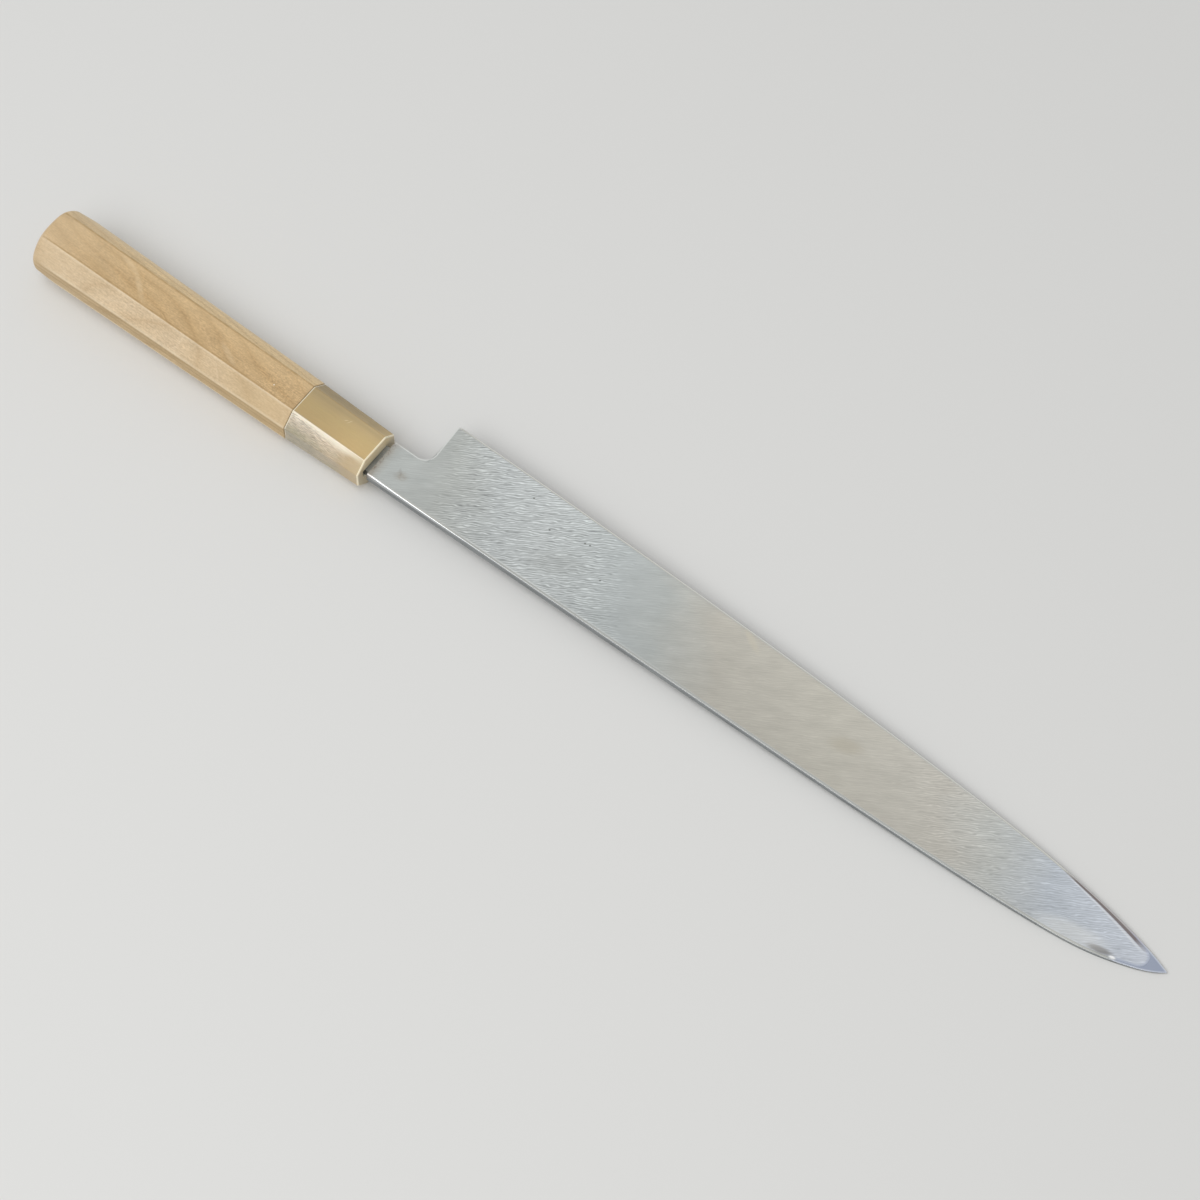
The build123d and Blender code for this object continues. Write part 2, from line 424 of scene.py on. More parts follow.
def hollow_depth(x, y):
    """Depth of the hollow below the flat back."""
    low = spine_line(x) + rim_at_spine
    high = edge_line(x) - rim_at_edge
    half = np.maximum((high - low) / 2, 0)
    aside = np.minimum(np.abs(y - (low + high) / 2), half)
    bowl = np.sqrt(wheel_radius**2 - aside**2) - np.sqrt(wheel_radius**2 - half**2)
    runout = np.clip((x - hollow_start) / hollow_runout, 0, 1)
    blunt_reach = 1.2
    blunt_end = np.sqrt(np.clip(hollow_inset(x, y) / blunt_reach, 0, 1))
    return bowl * eased(runout) * blunt_end


def arc(centre, radius, first, last, count):
    """Points of an arc in plan, from one angle to another."""
    angles = np.radians(np.linspace(first, last, count))
    return np.column_stack((centre[0] + radius * np.cos(angles), centre[1] + radius * np.sin(angles)))


def edge_side():
    """Plan of the blade's edge side, and how many of its points come before the cutting edge."""
    lean = math.degrees(math.atan2(heel_lean, edge_y - neck_y))
    notch_reach = notch_radius / math.tan(math.radians(45 - lean / 2))
    notch_centre = (heel_reach - notch_reach, neck_y + notch_radius)
    along_neck = np.linspace(shoulder_gap, notch_centre[0], 15)[:-1]
    neck = np.column_stack((along_neck, np.full(len(along_neck), neck_y)))
    notch = arc(notch_centre, notch_radius, -90, -lean, 19)
    corner_reach = heel_rounding / math.tan(math.radians(45 - lean / 2))
    corner_centre = (heel_x + corner_reach, edge_y - heel_rounding)
    corner = arc(corner_centre, heel_rounding, 180 - lean, 90, 9)
    heel = np.linspace(notch[-1], corner[0], 28)[1:-1]
    first_gap = 0.5
    gap = 0.9
    fine_x = point_x - 24.0
    even = np.arange(corner[-1][0] + first_gap, fine_x, gap)
    along = np.concatenate((even, np.linspace(fine_x, point_x, 90)))
    turn = np.concatenate((neck, notch, heel, corner))
    return np.concatenate((turn, np.column_stack((along, edge_line(along))))), len(turn)


def section_lines():
    """Ends of the lines on which the blade's sections stand, spine side and edge side, in plan. Round the
    notch and the heel the lines fan out: at the heel their spine ends lie further on by fan."""
    edge, turn = edge_side()
    fan = 4.5
    fan_length = 30.0
    length = np.concatenate(([0], np.cumsum(np.linalg.norm(np.diff(edge[:turn], axis=0), axis=1))))
    fan_x = edge[turn - 1][0] + fan
    first = shoulder_gap + length / length[-1] * (fan_x - shoulder_gap)
    share = np.clip((edge[turn:, 0] - edge[turn - 1][0]) / fan_length, 0, 1)
    rest = edge[turn:, 0] + fan * (1 - eased(share))
    x = np.minimum(np.concatenate((first, rest)), point_x)
    return np.column_stack((x, spine_line(x))), edge


def crossing(start, end, gap):
    """Share of each line from start to end at which gap turns negative, 1 where it never does."""
    low = np.zeros(len(start))
    high = np.ones(len(start))
    halvings = 26
    for _ in range(halvings):
        middle = (low + high) / 2
        at = start + (end - start) * middle[:, None]
        beyond = gap(at[:, 0], at[:, 1]) < 0
        high = np.where(beyond, middle, high)
        low = np.where(beyond, low, middle)
    return high


def spread(first, last, count):
    """Shares from first to last along each line, one column for each step."""
    return first[:, None] + (last - first)[:, None] * np.linspace(0, 1, count)[None, :]


def surface(start, end, shares, height):
    """Points of a surface over the lines, at the shares of each."""
    plan = start[:, None, :] + (end - start)[:, None, :] * shares[:, :, None]
    x, y = plan[..., 0], plan[..., 1]
    return np.stack((x, y, height(x, y)), axis=-1)


def rounded(start, end, length, radius, top, sign, steps):
    """Rounded long corner at the spine: radius per line, from the wall to the face."""
    rings = []
    for angle in np.radians(np.linspace(0, 90, steps + 1)[:-1]):
        share = radius * (1 - math.cos(angle)) / length
        at = start + (end - start) * share[:, None]
        rings.append(np.column_stack((at, top - sign * radius * (1 - math.sin(angle)))))
    return np.stack(rings, axis=1)


def blade_rings():
    """Sections of the hard steel and of the soft iron, over the same lines."""
    start, end = section_lines()
    tiny = 1e-4
    length = np.maximum(np.linalg.norm(end - start, axis=1), tiny)
    none = np.zeros(len(start))
    one = np.ones(len(start))
    weld_end = crossing(start, end, lambda x, y: depth(x, y) - steel_depth(x, y) - tiny)
    ridge = crossing(start, end, lambda x, y: bevel_depth(x, y) - side_depth(x, y))
    spine_depth = depth(start[:, 0], start[:, 1])
    buffed = spine_rounding + (neck_rounding - spine_rounding) * np.exp(-start[:, 0] / rounding_fade)
    even = even_steel(start[:, 0])
    widest = 0.12
    deepest = 0.7
    iron_deepest = 0.4
    rim_widest = 0.35
    radius = np.minimum(np.minimum(buffed, widest * length), deepest * (even - weld_wander))
    top = np.full(len(start), back_height)

    def back(x, y):
        return back_height - hollow_depth(x, y)

    def weld(x, y):
        return back_height - steel_depth(x, y)

    def under(x, y):
        return back_height - depth(x, y)

    face = radius / length
    step = 0.01
    rim_in = np.maximum(np.minimum(rim_at_spine / length, rim_widest), face + step)
    rim_out = 1 - np.minimum(rim_at_edge / length, rim_widest)
    steel = np.concatenate(
        (
            surface(start, end, none[:, None], weld),
            rounded(start, end, length, radius, top, 1, 8),
            surface(start, end, spread(face, rim_in, 4), back),
            surface(start, end, spread(rim_in, rim_out, 44)[:, 1:-1], back),
            surface(start, end, spread(rim_out, one, 4), back),
            surface(start, end, spread(one, weld_end, 9), weld),
            surface(start, end, spread(weld_end, none, 6)[:, 1:-1], weld),
        ),
        axis=1,
    )
    iron_depth = spine_depth - even - weld_wander
    least_iron = 0.03
    iron_count = np.argmax(iron_depth < least_iron)
    iron_room = iron_deepest * np.maximum(iron_depth, 0)
    iron_radius = np.minimum(np.minimum(spine_rounding, widest * length), iron_room)
    iron_face = iron_radius / length
    ridge = np.clip(ridge, iron_face + step, np.maximum(weld_end, iron_face + step))
    iron_end = np.maximum(weld_end, ridge)
    bottom = back_height - spine_depth
    iron = np.concatenate(
        (
            surface(start, end, spread(none, iron_end, 7), weld),
            surface(start, end, spread(iron_end, ridge, 14), under),
            surface(start, end, spread(ridge, iron_face, 16)[:, 1:], under),
            rounded(start, end, length, iron_radius, bottom, -1, 5)[:, ::-1],
        ),
        axis=1,
    )
    return steel, iron[:iron_count]


def brush_map(mesh):
    """UV map in millimetres whose U runs along the grinding marks, in plan."""
    turn = math.radians(brush_angle)
    layer = mesh.uv_layers.new(name="grinding")
    x, y, z = mesh_points(mesh).T
    u = x * math.cos(turn) + y * math.sin(turn)
    v = y * math.cos(turn) - x * math.sin(turn) + z
    corner = np.empty(len(mesh.loops), np.int32)
    mesh.loops.foreach_get("vertex_index", corner)
    layer.data.foreach_set("uv", np.column_stack((u, v))[corner].astype(np.float32).ravel())


def keep_places(mesh):
    """Stores on the steel's points, in millimetres, how far they lie from the hollow's rim, the cutting
    edge, the spine and the side of neck and heel, and whether they lie on the back."""
    x, y, z = (mesh_points(mesh) - np.array(grip_front)).T
    tolerance = 0.01
    plan, turn = edge_side()
    side = plan[:turn]
    gap = np.hypot(x[:, None] - side[None, :, 0], y[:, None] - side[None, :, 1]).min(axis=1)
    values = {
        "hollow_inset": hollow_inset(x, y),
        "from_edge": edge_line(x) - y,
        "from_spine": y - spine_line(x),
        "from_side": gap,
        "on_back": z > back_height - hollow_depth(x, y) - tolerance,
    }
    for name, value in values.items():
        attribute = mesh.attributes.new(name, "FLOAT", "POINT")
        attribute.data.foreach_set("value", value.astype(np.float32))


def tang_rings(far_end, near_end):
    """Sections of the tapering tang between two places along the knife."""
    rings = []
    for x in (far_end, near_end):
        share = (x + tang_length) / (shoulder_gap + tang_length)
        width = tang_end_width + (tang_width - tang_end_width) * share
        thickness = tang_end_thickness + (tang_thickness - tang_end_thickness) * share
        rings.append(rectangle_ring(x, tang_root_y * share, tang_root_z * share, width, thickness))
    return rings


# The grip's octagon, whose shape follows a rule: eight sloping facets drawn in towards the blade

octagon_sizes = ["Length", "Front width", "Front thickness", "Front crown", "Rear width", "Rear thickness",
                 "Rear crown", "Front rounding", "Rear rounding", "Corner softness", "Rear softness",
                 "Rear fade", "Dome radius", "Unevenness"]


def octagon_tree():
    """Geometry nodes that make a tapering octagon with rounded ends, from x = -Length to x = 0."""
    tree = bpy.data.node_groups.new("tapering_octagon", "GeometryNodeTree")
    sockets = [(name, "NodeSocketFloat") for name in octagon_sizes]
    sockets += [("Rings", "NodeSocketInt"), ("Points around", "NodeSocketInt")]
    sockets += [("Material", "NodeSocketMaterial")]
    for name, kind in sockets:
        tree.interface.new_socket(name=name, in_out="INPUT", socket_type=kind)
    tree.interface.new_socket(name="Geometry", in_out="OUTPUT", socket_type="NodeSocketGeometry")
    made = partial(add, tree)
    size = made("NodeGroupInput", output=None)

    # A grid of rings and points around: its X becomes the way along, its Y the angle
    grid = made("GeometryNodeMeshGrid", (1.0, 1.0, size["Rings"], size["Points around"]))
    place = made(SEPARATE, (made("GeometryNodeInputPosition"),), output=None)
    way = made(MATH, (place["X"], 0.5), operation="ADD")
    turned = made(MATH, (place["Y"], 0.5), operation="ADD")
    angle = made(MATH, (turned, math.tau), operation="MULTIPLY")
    aside = made(MATH, (angle,), operation="COSINE")
    upward = made(MATH, (angle,), operation="SINE")

    # The way runs over the rear face, round its rim, along the facets, round the front rim and over the
    # front face
    face_share = 0.09
    rim_share = 0.17
    quarter = math.pi / 2
    rear_face = made(RANGE, (way, 0.0, face_share))
    rear_turn = made(RANGE, (way, face_share, rim_share, 0.0, quarter))
    along = made(RANGE, (way, rim_share, 1 - rim_share))
    front_turn = made(RANGE, (way, 1 - rim_share, 1 - face_share, 0.0, quarter))
    front_face = made(RANGE, (way, 1 - face_share, 1.0, 1.0, 0.0))
    spread_out = made(MATH, (rear_face, front_face), operation="MULTIPLY")

    # A rim turns through a quarter circle: how far along it is, and how far in from the facets
    rear_cosine = made(MATH, (rear_turn,), operation="COSINE")
    rear_sine = made(MATH, (rear_turn,), operation="SINE")
    front_cosine = made(MATH, (front_turn,), operation="COSINE")
    front_sine = made(MATH, (front_turn,), operation="SINE")
    rear_way = made(MATH, (1.0, rear_cosine), operation="SUBTRACT")
    rear_way = made(MATH, (size["Rear rounding"], rear_way), operation="MULTIPLY")
    front_way = made(MATH, (size["Front rounding"], front_sine), operation="MULTIPLY")
    straight = made(MATH, (size["Length"], size["Front rounding"]), operation="SUBTRACT")
    straight = made(MATH, (straight, size["Rear rounding"]), operation="SUBTRACT")
    straight = made(MATH, (along, straight), operation="MULTIPLY")
    from_rear = made(MATH, (rear_way, straight), operation="ADD")
    from_rear = made(MATH, (from_rear, front_way), operation="ADD")
    rear_inset = made(MATH, (1.0, rear_sine), operation="SUBTRACT")
    rear_inset = made(MATH, (size["Rear rounding"], rear_inset), operation="MULTIPLY")
    front_inset = made(MATH, (1.0, front_cosine), operation="SUBTRACT")
    front_inset = made(MATH, (size["Front rounding"], front_inset), operation="MULTIPLY")

    # Hand-planed facets are a little uneven
    wave_length = 22.0 * MM
    wave_turn = 1.4
    wave_x = made(MATH, (from_rear, wave_length), operation="DIVIDE")
    wave_y = made(MATH, (aside, wave_turn), operation="MULTIPLY")
    wave_z = made(MATH, (upward, wave_turn), operation="MULTIPLY")
    wave_place = made(COMBINE, (wave_x, wave_y, wave_z))
    waves = made(NOISE, {"Vector": wave_place, "Scale": 1.0, "Detail": 1.0})
    uneven = made(MATH, (waves, size["Unevenness"]), operation="MULTIPLY")
    inset = made(MATH, (rear_inset, front_inset), operation="ADD")
    inset = made(MATH, (inset, uneven), operation="ADD")

    # Distance of each facet from the axis where this section stands
    taper = made(MATH, (from_rear, size["Length"]), operation="DIVIDE")
    width = made(RANGE, (taper, 0.0, 1.0, size["Rear width"], size["Front width"]))
    thickness = made(RANGE, (taper, 0.0, 1.0, size["Rear thickness"], size["Front thickness"]))
    crown = made(RANGE, (taper, 0.0, 1.0, size["Rear crown"], size["Front crown"]))
    slant = math.radians(facet_angle)
    side = made(MATH, (width, 0.5), operation="MULTIPLY")
    side = made(MATH, (side, inset), operation="SUBTRACT")
    top = made(MATH, (thickness, 0.5), operation="MULTIPLY")
    top = made(MATH, (top, inset), operation="SUBTRACT")
    corner_aside = made(MATH, (crown, 0.5 * math.sin(slant)), operation="MULTIPLY")
    corner_up = made(MATH, (thickness, 0.5 * math.cos(slant)), operation="MULTIPLY")
    corner = made(MATH, (corner_aside, corner_up), operation="ADD")
    corner = made(MATH, (corner, inset), operation="SUBTRACT")

    # Reach from the axis at this angle, to the nearest facet, with softened long corners
    wide = made(MATH, (aside,), operation="ABSOLUTE")
    tall = made(MATH, (upward,), operation="ABSOLUTE")
    slanting = made(MATH, (wide, math.sin(slant)), operation="MULTIPLY")
    slanting = made(MATH, (tall, math.cos(slant), slanting), operation="MULTIPLY_ADD")
    least = 0.001
    wide = made(MATH, (wide, least), operation="MAXIMUM")
    tall = made(MATH, (tall, least), operation="MAXIMUM")
    to_side = made(MATH, (side, wide), operation="DIVIDE")
    to_top = made(MATH, (top, tall), operation="DIVIDE")
    to_corner = made(MATH, (corner, slanting), operation="DIVIDE")
    fade = made(RANGE, (from_rear, 0.0, size["Rear fade"], 1.0, 0.0), interpolation_type="SMOOTHSTEP")
    softness = made(MATH, (fade, size["Rear softness"], size["Corner softness"]), operation="MULTIPLY_ADD")

    def to_nearest(operation, *softness):
        nearer = made(MATH, (to_top, to_corner, *softness), operation=operation)
        return made(MATH, (nearer, to_side, *softness), operation=operation)

    reach = to_nearest("SMOOTH_MIN", softness)

    # How worn the long corners are, for the material: a smooth minimum dips there, by a sixth of its width
    # at most
    worn_width = 1.2 * MM
    deepest_dip = worn_width / 6
    dip = made(MATH, (to_nearest("MINIMUM"), to_nearest("SMOOTH_MIN", worn_width)), operation="SUBTRACT")
    worn = made(MATH, (dip, 1 / deepest_dip), operation="MULTIPLY")

    # The rear face bulges as a dome
    radius = made(MATH, (reach, spread_out), operation="MULTIPLY")
    bulge = made(MATH, (radius, radius), operation="MULTIPLY")
    bulge = made(MATH, (bulge, size["Dome radius"]), operation="DIVIDE")
    toward_rear = made(RANGE, (along, 0.0, 1.0, 0.5, 0.0))
    x = made(MATH, (bulge, toward_rear, from_rear), operation="MULTIPLY_ADD")
    x = made(MATH, (x, size["Length"]), operation="SUBTRACT")
    y = made(MATH, (radius, aside), operation="MULTIPLY")
    z = made(MATH, (radius, upward), operation="MULTIPLY")
    kept = made(
        "GeometryNodeStoreNamedAttribute",
        {"Geometry": grid, "Name": "worn", "Value": worn},
        data_type="FLOAT",
        domain="POINT",
    )
    moved = made("GeometryNodeSetPosition", {"Geometry": kept, "Position": made(COMBINE, (x, y, z))})
    closed = made("GeometryNodeMergeByDistance", {"Geometry": moved, "Distance": SAME_POINT})
    outward = made("GeometryNodeFlipFaces", {"Mesh": closed})
    real = made("GeometryNodeRealizeInstances", {"Geometry": outward})
    finished = made("GeometryNodeSetMaterial", {"Geometry": real, "Material": size["Material"]})
    made("NodeGroupOutput", (finished,), output=None)
    return tree


def octagon_piece(name, tree, front_x, sizes, rings, material):
    """A plain mesh made by the octagon tree, with its front face at front_x."""
    points_around = 361
    piece = new_object(name, bpy.data.meshes.new(name))
    modifier = piece.modifiers.new("octagon", "NODES")
    modifier.node_group = tree
    sockets = tree.interface.items_tree
    socket_of = {item.name: item.identifier for item in sockets if item.in_out == "INPUT"}
    for label, value in sizes.items():
        modifier[socket_of[label]] = value * MM
    modifier[socket_of["Rings"]] = rings
    modifier[socket_of["Points around"]] = points_around
    modifier[socket_of["Material"]] = material
    plain_mesh(piece)
    piece.data.transform(Matrix.Translation(to_row((front_x, 0, 0))))
    return piece


# Patterns and marks that the materials share, with sizes in millimetres. A map range that is given two
# places only is a mask: 0 at the first place and 1 at the second.

def wander(tree, place, size, low, high, detail=2.0):
    """Tone that wanders between low and high, in patches of the given size. The noise itself seldom
    leaves 0.3 to 0.7."""
    scaled = add(tree, MAPPING, {"Vector": place, "Scale": [1 / length for length in size]})
    noise = add(tree, NOISE, {"Vector": scaled, "Scale": 1.0, "Detail": detail})
    return add(tree, RANGE, (noise, 0.3, 0.7, low, high))


def swayed(tree, place, size, amount):
    """The place, pushed about by up to amount in waves of the given size, so that straight lines sway."""
    scaled = add(tree, MAPPING, {"Vector": place, "Scale": [1 / length for length in size]})
    noise = add(tree, NOISE, {"Vector": scaled, "Scale": 1.0, "Detail": 1.0}, output="Color")
    return add(tree, VECTOR_MATH, (noise, (amount,) * 3, place), operation="MULTIPLY_ADD")


def between(tree, value, low, high, soft):
    """Mask of where a value lies between low and high, with soft ends."""
    rising = add(tree, RANGE, (value, low - soft, low + soft))
    falling = add(tree, RANGE, (value, high + soft, high - soft))
    return add(tree, MATH, (rising, falling), operation="MULTIPLY")


def where_all(tree, *masks):
    """Mask of where all the masks meet."""
    met = masks[0]
    for mask in masks[1:]:
        met = add(tree, MATH, (met, mask), operation="MULTIPLY")
    return met


def oval(tree, place, centre, reach, turn=0.0):
    """Mask of a mark: 1 in its middle, 0 at its reach, turned in plan."""
    local = add(
        tree,
        MAPPING,
        {"Vector": place, "Location": centre, "Rotation": (0, 0, math.radians(turn)), "Scale": reach},
        vector_type="TEXTURE",
    )
    far = add(tree, VECTOR_MATH, (local,), output="Value", operation="LENGTH")
    return add(tree, RANGE, (far, 0.3, 1.0, 1.0, 0.0), interpolation_type="SMOOTHSTEP")


def layered(tree, colour, layers):
    """Lays tints over a colour one after the other, each with its mask and its strength. A colour mix has
    its colours in inputs 6 and 7 and its result in output 2."""
    for tint, mask, strength in layers:
        amount = add(tree, MATH, (mask, strength), operation="MULTIPLY", use_clamp=True)
        colour = add(tree, MIX, {0: amount, 6: colour, 7: linear(tint)}, output=2, data_type="RGBA")
    return colour


def toned(tree, colour, tones):
    """The colour made lighter or darker by each tone, where its mask is."""
    for tone, mask in tones:
        here = add(tree, MIX, {0: mask, 2: 1.0, 3: tone})
        colour = add(tree, VECTOR_MATH, {0: colour, "Scale": here}, operation="SCALE")
    return colour


# Materials

# Ho wood, a magnolia, planed and rubbed smooth but not varnished: matt and pale greyish tan, with soft
# wide rings that feather over the top, silky flecks where the near chamfer lies along the rings, end grain
# at the butt, and long corners that the hand has rubbed pale.

def ho_wood():
    material, tree = new_material("ho_wood_planed")
    node = partial(add, tree)
    place = knife_place(tree)
    x, y, z = node(SEPARATE, (place,), output=None)
    normal = node(COORDINATES, output="Normal")
    facing_x, facing_y, facing_z = node(SEPARATE, (normal,), output=None)
    aside = node(MATH, (y,), operation="ABSOLUTE")
    level = node(MATH, (facing_z,), operation="ABSOLUTE")

    # Each facet has its own tone, partly because it cuts the rings at its own slant and partly as painted
    # light: a painted sheen makes the near chamfer paler and greyer, and the far chamfer is painted
    # lighter to make up for the lamp on the spine side
    facet = node(RANGE, (facing_y, -1.0, 1.0))
    colour = node(
        RAMP,
        (facet,),
        stops=[(0.0, "#CDB48D"), (0.1, "#D7C2A3"), (0.3, "#D7C2A3"), (0.42, "#CAAD82"), (0.6, "#CAAD82"),
               (0.8, "#F0D6AA"), (0.9, "#F0D6AA"), (1.0, "#C6AE87")],
    )
    near = node(RANGE, (facing_y, -0.3, -0.6))
    top = node(RANGE, (level, 0.85, 0.95))
    butt = node(RANGE, (facing_x, -0.45, -0.95))
    off_butt = node(RANGE, (facing_x, -0.5, -0.2))
    flank = where_all(tree, node(RANGE, (level, 0.35, 0.1)), off_butt)

    # Growth rings: planes 4 mm apart that lie nearly level with the near chamfer
    ring_spacing = 4.0
    across_rings = Vector((0.17, 0.70, -0.70)) * 2 / ring_spacing
    bent = swayed(tree, place, (45, 14, 14), 7.0)
    phase = node(VECTOR_MATH, (bent, across_rings), output="Value", operation="DOT_PRODUCT")
    ring = node(MATH, (phase, 1.0), operation="PINGPONG")
    ring_shade = node(
        RAMP,
        (ring,),
        stops=[(0.0, "#FFFFFF"), (0.06, "#F8F6F3"), (0.5, "#F7F5F1"), (0.88, "#EFEBE4"), (1.0, "#E8E2D9")],
    )
    colour = node(VECTOR_MATH, (colour, ring_shade), operation="MULTIPLY")

    # Fibres and pores are drawn coarser than real ones, which are too fine to show: fibres 0.4 mm wide
    fibres = wander(tree, place, (8, 0.4, 0.4), 0.92, 1.08)
    grain = wander(tree, place, (1.0, 0.5, 0.5), 0.86, 1.14)
    clouds = wander(tree, place, (9, 4, 4), 0.94, 1.06)
    lying_across = node(
        MAPPING, {"Vector": place, "Rotation": (0, 0, math.radians(20))}, vector_type="TEXTURE"
    )
    flecks = wander(tree, lying_across, (5.0, 0.7, 3.0), 0.0, 1.0)
    specks = wander(tree, place, (0.6, 0.45, 0.45), 0.86, 1.13, detail=1.0)
    end_pores = wander(tree, place, (0.5, 0.5, 0.5), 0.86, 1.06)
    rubbed_zone = where_all(tree, between(tree, x, -48.0, -33.0, 2.0), top)
    colour = toned(
        tree,
        colour,
        [(fibres, 1.0), (grain, 1.0), (clouds, 1.0), (specks, rubbed_zone), (end_pores, butt)],
    )

    # Fine dark lines lie along both long corners of the top, and rings come out as lines along the flanks
    crown_slope = (butt_crown - ferrule_rear_crown) / 2 / (handle_length - ferrule_length)
    inward = node(MATH, (x, crown_slope, aside), operation="MULTIPLY_ADD")
    corner_y = ferrule_rear_crown / 2 - crown_slope * ferrule_length
    far_side = where_all(tree, node(RANGE, (y, 0.0, 0.1)), off_butt)
    near_side = where_all(tree, node(RANGE, (y, 0.0, -0.1)), off_butt)
    ragged = wander(tree, place, (2.5, 0.8, 0.8), 0.4, 1.0)
    at_far_corner = between(tree, inward, corner_y - 0.45, corner_y + 0.3, 0.12)
    far_line = where_all(tree, at_far_corner, far_side, ragged)
    at_near_corner = between(tree, inward, corner_y - 0.8, corner_y - 0.25, 0.1)
    near_line = where_all(tree, at_near_corner, near_side, ragged)
    bent_z = node(SEPARATE, (swayed(tree, place, (30, 30, 30), 0.8),), output="Z")
    upper_line = between(tree, bent_z, 2.7, 3.3, 0.15)
    lower_line = between(tree, bent_z, 0.3, 1.0, 0.2)
    flank_line = where_all(tree, node(MATH, (upper_line, lower_line), operation="MAXIMUM"), flank)

    # Paler and darker places, and long corners that are rubbed pale; the small oval is a pale nick on top
    low_rim = where_all(tree, between(tree, z, -4.6, -3.0, 0.3), flank, near_side)
    past_butt = node(RANGE, (x, -120.0, -85.0, 0.4, 1.0))
    far_top = where_all(tree, node(RANGE, (y, 0.0, 4.0)), top, past_butt)
    far_rim = node(RANGE, (y, 9.0, 11.5))
    joint = between(tree, x, -ferrule_length - 0.3, -ferrule_length + 0.3, 0.05)
    worn = node(ATTRIBUTE, output="Fac", attribute_name="worn")
    before_butt = node(RANGE, (x, -handle_length + 3.0, -handle_length + 12.0))
    beside_top = node(RANGE, (level, 0.82, 0.98, 1.0, 0.15))
    spine_half = node(RANGE, (y, 0.0, 0.1, 1.0, 0.25))
    uneven = wander(tree, place, (14, 2, 2), 0.6, 1.0)
    worn_here = where_all(tree, worn, before_butt, beside_top, spine_half, uneven)
    top_z = 10.0
    darker = [oval(tree, place, (*centre, top_z), (11, 2.4, 4), -13) for centre in wood_shadows]
    paler = [oval(tree, place, (*centre, top_z), (8, 1.5, 4), lie) for *centre, lie in pale_streaks]
    rear = node(RANGE, (x, -handle_length + 40.0, -handle_length + 8.0))
    front = where_all(tree, node(RANGE, (x, -85.0, -40.0)), near)
    colour = layered(
        tree,
        colour,
        [
            ("#D2BB98", rear, 0.45),
            ("#C9AE81", front, 0.5),
            ("#DECEBA", butt, 0.8),
            ("#E0C69B", far_top, 0.25),
            ("#EBDCC0", far_rim, 0.35),
            ("#B4946A", where_all(tree, flecks, near), 0.13),
        ]
        + [("#B99C70", shadow, 0.3) for shadow in darker]
        + [("#E3CCA6", where_all(tree, streak, ragged), 0.4) for streak in paler]
        + [
            ("#A48B60", flank_line, 0.45),
            ("#F1E2C6", low_rim, 0.5),
            ("#F1E2C6", worn_here, 0.62),
            ("#A68859", far_line, 0.75),
            ("#9C7C4E", near_line, 0.65),
            ("#F4ECDA", oval(tree, place, (-42.7, -2.1, 9.4), (0.4, 0.4, 1)), 0.8),
            ("#7E6A48", joint, 0.4),
        ],
    )
    pores = wander(tree, place, (1.6, 0.2, 0.2), 0.0, 1.0)
    bump = node(BUMP, {"Height": pores, "Strength": 0.3, "Distance": 0.08 * MM})
    shader = node(
        PRINCIPLED,
        {"Base Color": colour, "Roughness": 0.62, "Specular IOR Level": 0.35, "Normal": bump},
    )
    node(OUTPUT, {"Surface": shader}, output=None)
    return material
